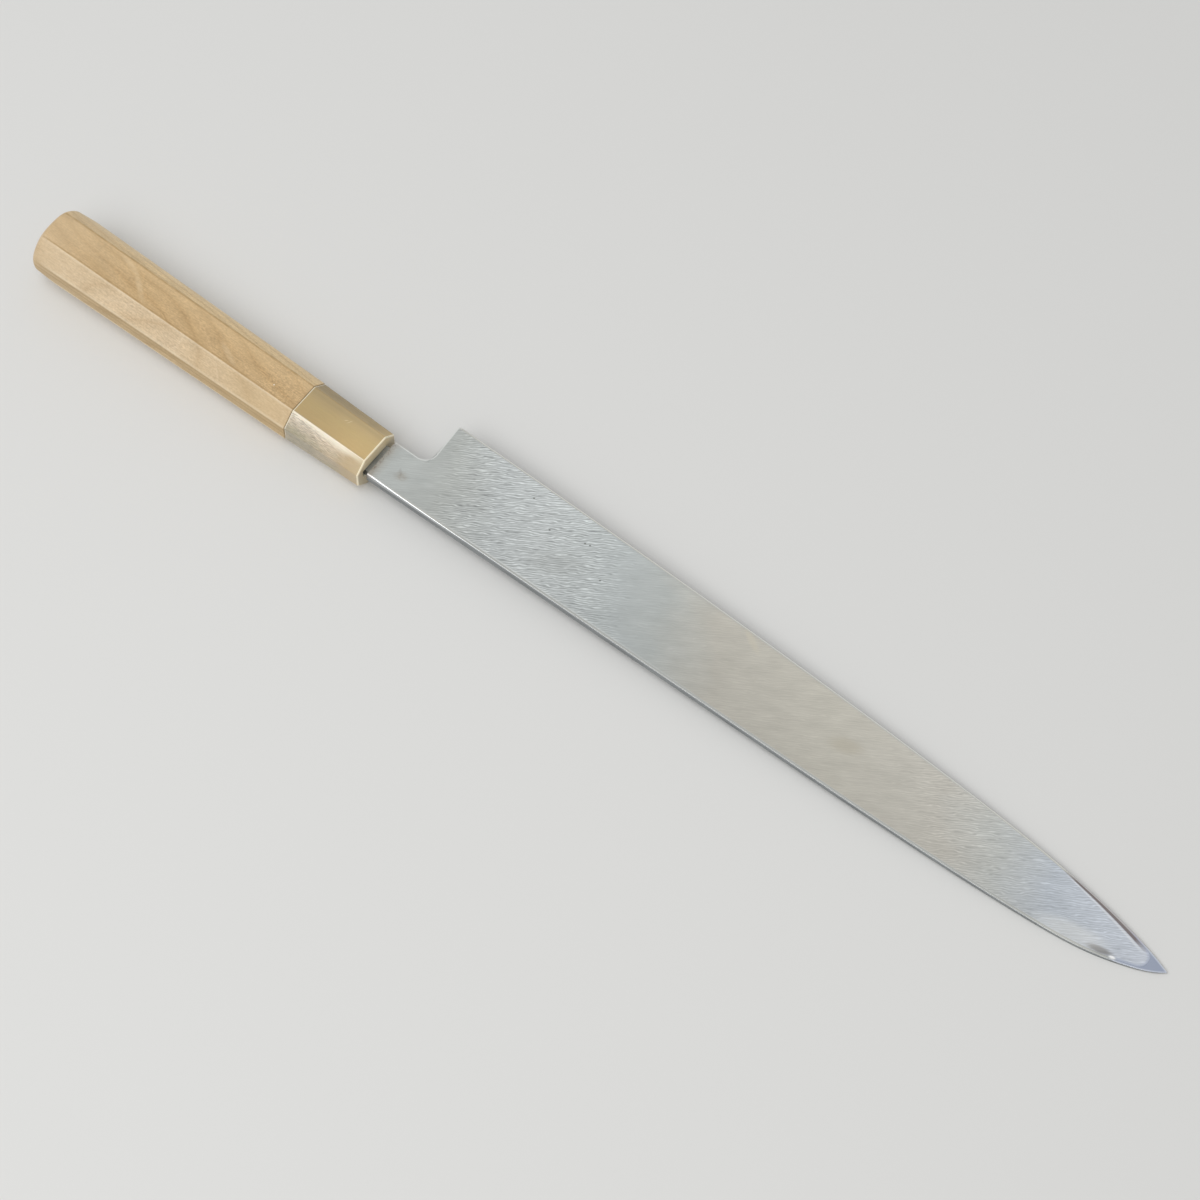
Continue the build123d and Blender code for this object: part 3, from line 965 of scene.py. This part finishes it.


# Blond water-buffalo horn, filed to the octagon and polished: hard and faintly clear, so light sinks a
# little into it. The eye sees a smooth khaki gold on top, pale silvery fibres along the near chamfer,
# brown on the far one and cream rims at the lip and the joint. The paleness of the near chamfer towards
# its corner is painted reflection and highlight, and the cream rims, where the lip and the joint thin
# out, are partly painted highlight.

def blond_horn():
    material, tree = new_material("blond_horn_polished")
    node = partial(add, tree)
    place = knife_place(tree)
    x, y, z = node(SEPARATE, (place,), output=None)
    normal = node(COORDINATES, output="Normal")
    facing_x, facing_y, _ = node(SEPARATE, (normal,), output=None)

    # Growth layers lie one beside the other across the ferrule; over the near chamfer their tones are
    # painted lighter towards its corner as a painted reflection, palest at the corner as a painted
    # highlight
    half = 11.0
    layer_and_sheen_tones = [
        (-10.35, "#B8AC97"), (-9.8, "#BEB19C"), (-9.1, "#CBBDA8"), (-7.9, "#D5C7B2"), (-6.8, "#E0D5C1"),
        (-6.0, "#F0E5D0"), (-5.75, "#F8EBD2"), (-5.5, "#B29C71"), (-5.0, "#C0A572"), (0.5, "#BEA674"),
        (3.2, "#B8A174"), (4.4, "#AE996F"), (5.3, "#B19C73"), (5.9, "#B29A6A"), (7.5, "#A78F5C"),
        (10.4, "#A28C5E"),
    ]
    layer = node(RANGE, (y, -half, half))
    colour = node(
        RAMP, (layer,), stops=[((place_y + half) / (half * 2), tone) for place_y, tone in layer_and_sheen_tones]
    )
    near = node(RANGE, (facing_y, -0.3, -0.6))
    far = node(RANGE, (facing_y, 0.3, 0.6))
    front = node(RANGE, (x, -26.0, -4.0), interpolation_type="SMOOTHSTEP")
    rear_shade = node(RANGE, (front, 0.0, 1.0, 0.88, 1.07))

    # Fibres are drawn 0.2 mm wide, coarser than real ones, which are too fine to show
    wavy = swayed(tree, place, (3.5, 2, 2), 1.0)
    fibres = wander(tree, wavy, (3, 0.22, 0.22), 0.62, 1.38, detail=1.0)
    faint_fibres = wander(tree, wavy, (9, 0.5, 0.5), 0.97, 1.03)
    far_bands = wander(tree, wavy, (7, 0.6, 0.6), 0.86, 1.14)
    # Towards the lip the far chamfer is painted lighter as a painted highlight
    far_lip_highlight = where_all(tree, far, node(RANGE, (x, -7.0, -1.0)))
    colour = toned(
        tree,
        colour,
        [(rear_shade, 1.0), (faint_fibres, 1.0), (fibres, near), (far_bands, far), (1.25, far_lip_highlight)],
    )

    # The pale wedge along the near corner is a painted highlight, with some rubbed paleness of the horn;
    # it widens towards the blade and narrows again at the lip
    corner_y = ferrule_front_crown / 2
    from_corner = node(RANGE, (y, -corner_y, -ferrule_front_crown, 0.0, corner_y))
    widening = node(RANGE, (x, -ferrule_length, -9.0, 0.5, 2.1))
    narrowing = node(RANGE, (x, -8.0, -1.0, 2.1, 0.7))
    highlight_width = node(MATH, (widening, narrowing), operation="MINIMUM")
    share = node(MATH, (from_corner, highlight_width), operation="DIVIDE")
    corner_highlight = where_all(tree, node(RANGE, (share, 1.0, 0.35)), near)
    below_highlight = node(RANGE, (from_corner, 0.7, 1.6))
    golden = where_all(tree, below_highlight, near, node(RANGE, (x, -11.0, -5.5)))
    outer_half = between(tree, y, -12.0, -8.3, 0.8)
    patches = where_all(tree, wander(tree, place, (9, 3, 3), 0.0, 1.0), near, outer_half)
    face = node(RANGE, (facing_x, 0.75, 0.95))
    over_slot = where_all(tree, face, node(RANGE, (z, 5.8, 2.6)))
    near_front = where_all(tree, near, node(RANGE, (x, -9.0, -1.0)))
    # The cream rims at the lip and at the joint are painted highlights on the rounded edges, where the
    # horn also thins out
    front_rim_highlight = between(tree, x, -0.55, -0.02, 0.1)
    rear_rim_highlight = between(tree, x, -ferrule_length - 0.1, -ferrule_length + 0.45, 0.08)

    # The ovals are two light scratches on top and a dark chip in the far corner of the front rim
    colour = layered(
        tree,
        colour,
        [
            ("#BEA581", where_all(tree, front, near), 0.5),
            ("#A09C80", patches, 0.4),
            ("#F4EAD5", corner_highlight, 0.85),
            ("#D6C6A4", near_front, 0.85),
            ("#B79E76", golden, 0.6),
            ("#DDBD80", face, 0.8),
            ("#8F7A50", over_slot, 0.7),
            ("#FFF4D6", front_rim_highlight, 0.95),
            ("#EFE6D0", rear_rim_highlight, 0.75),
            ("#E2D2AC", oval(tree, place, (-14.7, 2.5, 8.1), (1.0, 0.16, 2), 38), 0.7),
            ("#E2D2AC", oval(tree, place, (-13.4, 2.75, 8.1), (1.6, 0.16, 2), 61), 0.6),
            ("#4A3822", oval(tree, place, (0.0, 7.4, 6.9), (0.5, 0.5, 1)), 0.9),
        ],
    )
    bump = node(BUMP, {"Height": fibres, "Strength": 0.15, "Distance": 0.05 * MM})
    shader = node(
        PRINCIPLED,
        {
            "Base Color": colour,
            "Roughness": 0.36,
            "Subsurface Weight": 0.1,
            "Subsurface Radius": (1.0, 0.7, 0.4),
            "Subsurface Scale": 1.0 * MM,
            "Coat Weight": 0.2,
            "Coat Roughness": 0.15,
            "Normal": bump,
        },
    )
    node(OUTPUT, {"Surface": shader}, output=None)
    return material


# High-carbon edge steel. The back is hollow-ground on a wheel, which leaves a grey satin of short slanting
# marks, strongest behind the heel. Its narrow rims are stoned flat and brighter, and so is the bevel. Use
# has left pits, a warm tarnish in the middle, brown stains at the neck and a dark line behind the edge
# near the point.

def edge_steel():
    material, tree = new_material("carbon_steel_hollow_ground")
    node = partial(add, tree)
    place = knife_place(tree)
    x, y, _ = node(SEPARATE, (place,), output=None)
    inset, from_edge, from_spine, from_side, on_back = (
        node(ATTRIBUTE, output="Fac", attribute_name=name)
        for name in ("hollow_inset", "from_edge", "from_spine", "from_side", "on_back")
    )
    hollow = where_all(tree, node(RANGE, (inset, -0.1, 0.12)), on_back)
    rim = where_all(tree, node(RANGE, (inset, 0.12, -0.1)), on_back)
    bevel = node(MATH, (1.0, on_back), operation="SUBTRACT")

    # Zones along the blade have slanting, uneven borders
    zone_place = swayed(tree, place, (22, 9, 9), 14.0)
    zone_x = node(SEPARATE, (zone_place,))
    way = node(MATH, (y, 0.5, zone_x), operation="MULTIPLY_ADD")
    way = node(MATH, (way, 12.0), operation="SUBTRACT")
    along = node(RANGE, (way, 0.0, point_x))
    colour = node(
        RAMP,
        (along,),
        stops=[(0.0, "#B9BDBC"), (0.08, "#B6B9B7"), (0.14, "#BDC1C2"), (0.2, "#C0C4C5"),
               (0.3, "#B6BBBC"), (0.35, "#B4B8B7"), (0.43, "#BAB7AF"), (0.58, "#BDBAB1"),
               (0.72, "#BDBAB3"), (0.79, "#B9BBB9"), (0.86, "#B6BCC4"), (1.0, "#C5CAD4")],
    )

    # Grinding marks: swaying light and dark lines 0.8 mm apart, broken into dashes, over wider, fainter
    # streaks. The real ones are finer and are drawn this coarse so that they show.
    turn = (0, 0, math.radians(brush_angle))
    wavy = swayed(tree, place, (8, 5, 8), 0.25)
    slanted = node(MAPPING, {"Vector": wavy, "Rotation": turn}, vector_type="TEXTURE")
    line_spacing = 0.8
    pushed = wander(tree, slanted, (5.5, 1.5, 5.5), -0.42, 0.42, detail=1.0)
    lines = node(MATH, (node(SEPARATE, (slanted,), output="Y"), pushed), operation="ADD")
    lines = node(MATH, (lines, math.tau / line_spacing), operation="MULTIPLY")
    lines = node(MATH, (lines,), operation="SINE")
    broken = wander(tree, slanted, (2.7, 0.6, 2.7), 0.0, 1.0)
    streaks = wander(tree, slanted, (9, 1.5, 9), 0.98, 1.02)
    hairlines = wander(tree, slanted, (7, 0.22, 7), 0.96, 1.04)
    clouds = wander(tree, slanted, (9, 3.5, 9), 0.96, 1.04, detail=1.0)
    behind_heel = between(tree, way, 26.0, 92.0, 7.0)
    before_point = between(tree, way, 222.0, 308.0, 12.0)
    strength = node(MATH, (before_point, 0.28, 0.12), operation="MULTIPLY_ADD")
    strength = node(MATH, (behind_heel, 0.72, strength), operation="MULTIPLY_ADD")
    strength = where_all(tree, strength, hollow)
    light_dashes = where_all(tree, node(RANGE, (lines, 0.0, 1.0)), broken, strength)
    dark_dashes = where_all(tree, node(RANGE, (lines, 0.0, -1.0)), broken, strength)
    everywhere = [(tone, hollow) for tone in (streaks, hairlines, clouds)]
    colour = toned(tree, colour, [(1.7, light_dashes), (0.5, dark_dashes)] + everywhere)

    # Rims and the fine lines beside them, with a painted darkening of the spine's corner and painted
    # highlights along the neck's corners and round the point
    past_neck = node(RANGE, (x, 30.0, 45.0))
    at_spine = node(RANGE, (from_spine, 3.0, 2.0))
    inner_line = where_all(tree, between(tree, inset, -0.4, -0.08, 0.08), at_spine, past_neck, on_back)
    rear_half = node(RANGE, (x, 140.0, 70.0))
    beside_rim = between(tree, inset, 0.02, 0.5, 0.12)
    bright_line = where_all(tree, beside_rim, at_spine, past_neck, rear_half, on_back)
    # Past the neck the spine's rounded corner is painted darker, a painted shade that dims the lamp's
    # glint there
    spine_corner_painted_dark = where_all(tree, node(RANGE, (from_spine, 0.3, 0.1)), past_neck)
    edge_rim = where_all(
        tree,
        between(tree, from_edge, -1.0, 0.35, 0.1),
        between(tree, x, 22.0, 272.0, 3.0),
        on_back,
    )
    # A painted highlight runs along the corners of the neck, the notch and the heel
    side_highlight = where_all(tree, node(RANGE, (from_side, 0.5, 0.25)), on_back)
    near_point = node(RANGE, (x, 298.0, 302.0))
    soft_end = where_all(tree, near_point, node(RANGE, (inset, 0.9, -0.3)), on_back)
    # Near the point a painted highlight runs along the edge and the spine
    outline_highlight = node(MATH, (from_edge, from_spine), operation="MINIMUM")
    outline_highlight = where_all(tree, node(RANGE, (outline_highlight, 0.7, 0.25)), near_point, on_back)
    band_width = node(RANGE, (x, 270.0, 304.0, 0.7, 1.7))
    band = node(MATH, (from_edge, band_width), operation="DIVIDE")
    band_reach = between(tree, x, 273.0, 305.0, 3.0)
    dark_edge = where_all(tree, band_reach, between(tree, band, 0.3, 1.0, 0.1), on_back)
    light_edge = where_all(tree, band_reach, between(tree, band, 1.15, 1.6, 0.15), on_back)
    outer_edge = where_all(tree, band_reach, between(tree, band, -1.0, 0.2, 0.05), on_back)

    def on_the_back(centre, reach, turn):
        return oval(tree, place, (*centre, back_height), (*reach, 2.0), turn)

    # Stains at the neck
    grime = wander(tree, place, (0.8, 0.8, 0.8), 0.2, 1.0)
    slot_line = where_all(tree, between(tree, x, -1.0, 0.4, 0.15), between(tree, y, -5.2, 6.4, 0.5), grime)
    beside_slot = node(RANGE, (x, 3.4, 0.4))
    crud = where_all(tree, beside_slot, wander(tree, place, (0.7, 0.5, 0.7), -1.5, 1.3, detail=1.0))
    blotches = wander(tree, place, (3, 3, 3), 0.4, 1.0)
    tinge = where_all(tree, node(RANGE, (x, 5.5, 0.4)), blotches)
    blurred = wander(tree, place, (1.3, 1.3, 1.3), 0.3, 1.0)
    stain = where_all(tree, on_the_back((11.2, -0.6), (3.4, 2.6), 30), blurred)
    stain_top = where_all(tree, on_the_back((10.0, 0.6), (1.9, 0.8), -50), blurred)
    stoned = wander(tree, place, (12, 0.35, 0.35), 0.93, 1.05)
    colour = layered(
        tree,
        colour,
        [
            ("#C8C8C4", rim, 1.0),
            ("#C6C9CB", bevel, 1.0),
            ("#A7ACAE", inner_line, 0.65),
            ("#D9DCDA", bright_line, 0.5),
            ("#DDDDD8", edge_rim, 0.7),
            ("#E4E6E4", side_highlight, 0.75),
            ("#8B8F92", spine_corner_painted_dark, 0.7),
            ("#9EA8BF", soft_end, 0.88),
            ("#D5DAE6", outline_highlight, 0.7),
            ("#766B6A", dark_edge, 0.9),
            ("#DFE1E4", light_edge, 0.5),
            ("#BDB5C0", outer_edge, 0.7),
        ]
        + [(tint, on_the_back(*where), strength) for *where, tint, strength in back_marks]
        + [
            ("#A0907F", tinge, 0.6),
            ("#6A4F40", crud, 0.7),
            ("#4A342A", slot_line, 0.9),
            ("#968878", stain, 0.42),
            ("#75695F", stain_top, 0.3),
        ]
        + [("#5E5E5B", on_the_back(centre, (0.55, 0.4), brush_angle), 0.8) for centre in pits],
    )
    colour = toned(tree, colour, [(stoned, bevel)])
    roughness = node(RANGE, (hollow, 0.0, 1.0, 0.24, 0.37))
    stained = node(RANGE, (x, 0.0, 6.0, 0.65, 0.0))
    roughness = node(MATH, (roughness, stained), operation="MAXIMUM")
    bump = node(BUMP, {"Height": light_dashes, "Strength": 0.15, "Distance": 0.03 * MM})
    tangent = node("ShaderNodeTangent", direction_type="UV_MAP", uv_map="grinding")
    shader = node(
        PRINCIPLED,
        {
            "Base Color": colour,
            "Metallic": 1.0,
            "Roughness": roughness,
            "Anisotropic": 0.5,
            "Tangent": tangent,
            "Normal": bump,
        },
    )
    node(OUTPUT, {"Surface": shader}, output=None)
    return material


# Soft iron cladding, stoned on the bevel side and buffed on the spine: a cloudy mid grey, duller than the
# hard steel, with faint lines along the blade.

def soft_iron():
    material, tree = new_material("soft_iron_stoned")
    node = partial(add, tree)
    place = knife_place(tree)
    clouds = wander(tree, place, (14, 4, 4), 0.0, 1.0, detail=4.0)
    # The greys are kept dark partly as painted reflection, standing in for the dim surroundings that the
    # spine wall reflects
    colour = node(RAMP, (clouds,), stops=[(0.0, "#7F8385"), (0.5, "#8F9395"), (1.0, "#A0A4A5")])
    lines = wander(tree, place, (14, 0.3, 0.3), 0.93, 1.06, detail=3.0)
    colour = toned(tree, colour, [(lines, 1.0)])
    bump = node(BUMP, {"Height": lines, "Strength": 0.2, "Distance": 0.02 * MM})
    shader = node(PRINCIPLED, {"Base Color": colour, "Metallic": 1.0, "Roughness": 0.36, "Normal": bump})
    node(OUTPUT, {"Surface": shader}, output=None)
    return material


# Pieces

def make_blade():
    """Hard steel and soft iron, each a closed mesh over the same sections."""
    corner_angle = 32
    steel_rings, iron_rings = blade_rings()
    steel = settled(ring_solid("edge_steel", steel_rings), corner_angle, edge_steel())
    brush_map(steel.data)
    keep_places(steel.data)

    # A thinner stub at the tang's root reaches into the iron, so that the two unite
    narrower = 1.0
    stub = 2.0
    weld_room = 0.3
    low_z = tang_root_z - tang_thickness / 2 + narrower / 2
    high_z = back_height - (steel_at_heel + weld_room)
    middle_z = (low_z + high_z) / 2
    step = rectangle_ring(shoulder_gap, tang_root_y, middle_z, tang_width - narrower, high_z - low_z)
    end = [(x + stub, y, z) for x, y, z in step]
    iron = settled(ring_solid("soft_iron", iron_rings), corner_angle)
    tang = ring_solid("tang", tang_rings(-tang_length, shoulder_gap) + [step, end])
    joined(iron, settled(tang, corner_angle), "UNION")
    return steel, settled(iron, corner_angle, soft_iron())


def cylinder(name, first_x, last_x, diameter):
    """A round solid along the grip's axis."""
    sides = 96
    turns = np.linspace(0, math.tau, sides + 1)[:-1]
    circle = np.column_stack((np.cos(turns), np.sin(turns))) * diameter / 2
    return ring_solid(name, [[(x, y, z) for y, z in circle] for x in (first_x, last_x)])


def make_ferrule(tree):
    """Horn ferrule, bored from behind and slotted in front for the tang."""
    horn = blond_horn()
    ferrule = octagon_piece(
        "ferrule",
        tree,
        0,
        {
            "Length": ferrule_length,
            "Front width": ferrule_front_width,
            "Front thickness": ferrule_front_thickness,
            "Front crown": ferrule_front_crown,
            "Rear width": ferrule_rear_width,
            "Rear thickness": ferrule_rear_thickness,
            "Rear crown": ferrule_rear_crown,
            "Front rounding": ferrule_lip,
            "Rear rounding": ferrule_rear_bevel,
            "Corner softness": ferrule_softness,
            "Rear softness": 0.0,
            "Rear fade": ferrule_length,
            "Dome radius": flat_radius,
            "Unevenness": ferrule_unevenness,
        },
        140,
        horn,
    )
    overrun = 1.0
    bore_clearance = 0.1
    bore = cylinder("bore", -ferrule_length - overrun, -ferrule_wall, tenon_diameter + bore_clearance)
    joined(ferrule, bore, "DIFFERENCE")
    flared = slot_flare * 2
    slot = ring_solid(
        "slot",
        [
            rectangle_ring(-ferrule_wall - overrun, slot_y, tang_root_z, slot_width, slot_height),
            rectangle_ring(-slot_flare, slot_y, tang_root_z, slot_width, slot_height),
            rectangle_ring(slot_flare, slot_y, tang_root_z, slot_width + flared, slot_height + flared),
        ],
    )
    joined(ferrule, slot, "DIFFERENCE")
    return settled(ferrule, 30, horn)


def make_grip(tree):
    """Magnolia body with its tenon and the channel that is burnt in for the tang."""
    wood = ho_wood()
    grip = octagon_piece(
        "grip_body",
        tree,
        -ferrule_length,
        {
            "Length": handle_length - ferrule_length,
            "Front width": ferrule_rear_width + body_step * 2,
            "Front thickness": ferrule_rear_thickness + body_step * 2,
            "Front crown": ferrule_rear_crown,
            "Rear width": butt_width,
            "Rear thickness": butt_thickness,
            "Rear crown": butt_crown,
            "Front rounding": body_front_rounding,
            "Rear rounding": butt_rounding,
            "Corner softness": body_softness,
            "Rear softness": butt_softness,
            "Rear fade": butt_fade,
            "Dome radius": butt_radius,
            "Unevenness": body_unevenness,
        },
        190,
        wood,
    )
    inside = 2.0
    joined(grip, cylinder("tenon", -ferrule_length - inside, -ferrule_wall, tenon_diameter), "UNION")
    pocket = rectangle_ring(-tang_length - tang_pocket, 0, 0, tang_end_width, tang_end_thickness)
    joined(grip, ring_solid("channel", [pocket] + tang_rings(-tang_length, 0)), "DIFFERENCE")
    return settled(grip, 40, wood)


steel, iron = make_blade()
octagon = octagon_tree()
ferrule = make_ferrule(octagon)
grip = make_grip(octagon)

for piece, node, slot_name in (
    (steel, "blade_edge_steel", "edge_steel"),
    (iron, "blade_soft_iron", "soft_iron"),
    (ferrule, "horn_ferrule", "horn"),
    (grip, "wood_body", "magnolia"),
):
    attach(piece, "root")
    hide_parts(node)


# Floor: it touches the ferrule's front rim and the blade near its point, as the knife really lies

def make_floor():
    contact = Vector(to_row((0, 0, -ferrule_front_thickness / 2)))
    past_grip = 100.0 * MM
    slopes = [
        (vertex.co.z - contact.z) / (vertex.co.x - contact.x)
        for piece in (steel, iron)
        for vertex in piece.data.vertices
        if vertex.co.x - contact.x > past_grip
    ]
    tilt = -math.atan(min(slopes))
    side = 6000.0 * MM
    mesh = bpy.data.meshes.new("floor")
    corners = [(-side, -side, 0), (side, -side, 0), (side, side, 0), (-side, side, 0)]
    mesh.from_pydata(corners, [], [(0, 1, 2, 3)])
    mesh.transform(Matrix.Translation(contact) @ Matrix.Rotation(tilt, 4, "Y"))
    floor = new_object("floor", mesh)
    material, tree = new_material("matt_paper")
    shader = add(tree, PRINCIPLED, {"Base Color": linear("#DCDCDA"), "Roughness": 0.9})
    add(tree, OUTPUT, {"Surface": shader}, output=None)
    mesh.materials.append(material)


make_floor()


def aim_at(holder, place, aim, roll=0.0):
    """Puts a lamp or the camera in its place and turns it towards its aim."""
    holder.location = place
    holder.rotation_mode = "QUATERNION"
    holder.rotation_quaternion = (aim - place).to_track_quat("-Z", "Y") @ Quaternion((0, 0, 1), roll)


# Light: an even sky with one wide soft lamp above the spine side. Reflections see a paler room than the
# light comes from.

def make_light():
    world = bpy.data.worlds.new("studio")
    bpy.context.scene.world = world
    world.use_nodes = True
    tree = world.node_tree
    tree.nodes.clear()
    node = partial(add, tree)
    path = node("ShaderNodeLightPath", output=None)
    seen = node(MATH, (path["Is Camera Ray"], path["Is Glossy Ray"]), operation="MAXIMUM")
    seen = node(MATH, (seen, path["Is Transmission Ray"]), operation="MAXIMUM")
    light = node("ShaderNodeBackground", {"Color": linear("#FFFFFF"), "Strength": 0.45})
    backdrop = node("ShaderNodeBackground", {"Color": linear("#E6E6E4"), "Strength": 1.0})
    both = node("ShaderNodeMixShader", (seen, light, backdrop))
    node("ShaderNodeOutputWorld", {"Surface": both}, output=None)
    lamp = bpy.data.lights.new("softbox", "AREA")
    lamp.shape = "SQUARE"
    lamp.size = 1800.0 * MM
    lamp.energy = 24.0
    place = Vector((-350.0, -750.0, 1600.0)) * MM
    aim_at(new_object("softbox", lamp), place, Vector((0, 0, 0)))


make_light()


# Camera, as the photograph was taken: fitted to the outline of the blade and the grip

def make_camera():
    data = bpy.data.cameras.new("camera")
    data.sensor_width = 36.0
    data.lens = 110.02
    camera = new_object("camera", data)
    place = Vector(to_row((406.9, -435.9, 1102.2)))
    aim = Vector(to_row((92.99, 3.50, 2.5)))
    aim_at(camera, place, aim, math.radians(1.93))
    bpy.context.scene.camera = camera


make_camera()
bpy.context.scene.view_settings.view_transform = "Standard"
